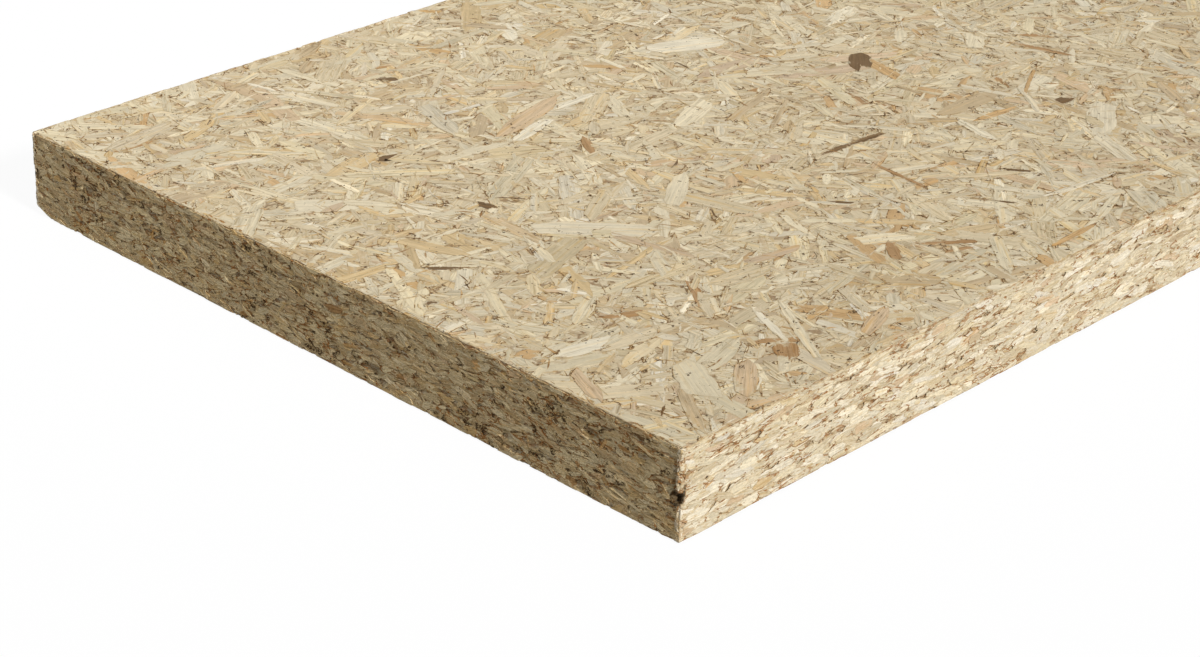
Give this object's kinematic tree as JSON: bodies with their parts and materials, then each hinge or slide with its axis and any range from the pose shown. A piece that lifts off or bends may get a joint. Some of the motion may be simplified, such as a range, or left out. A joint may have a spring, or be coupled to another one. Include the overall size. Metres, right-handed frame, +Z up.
{
  "type": "particleboard panel",
  "caption": "Flat rectangular particleboard panel of coarse pressed wood chips, with sawn edges and a crushed bottom corner.",
  "frame": {"origin": "middle of the bottom face", "axes": "+X along the length, +Y across the width, +Z up through the thickness"},
  "size_m": [0.6, 0.25, 0.025],
  "materials": {
    "particleboard": "matte"
  },
  "bodies": {
    "root": {"particleboard_panel": "particleboard"}
  },
  "joints": []
}
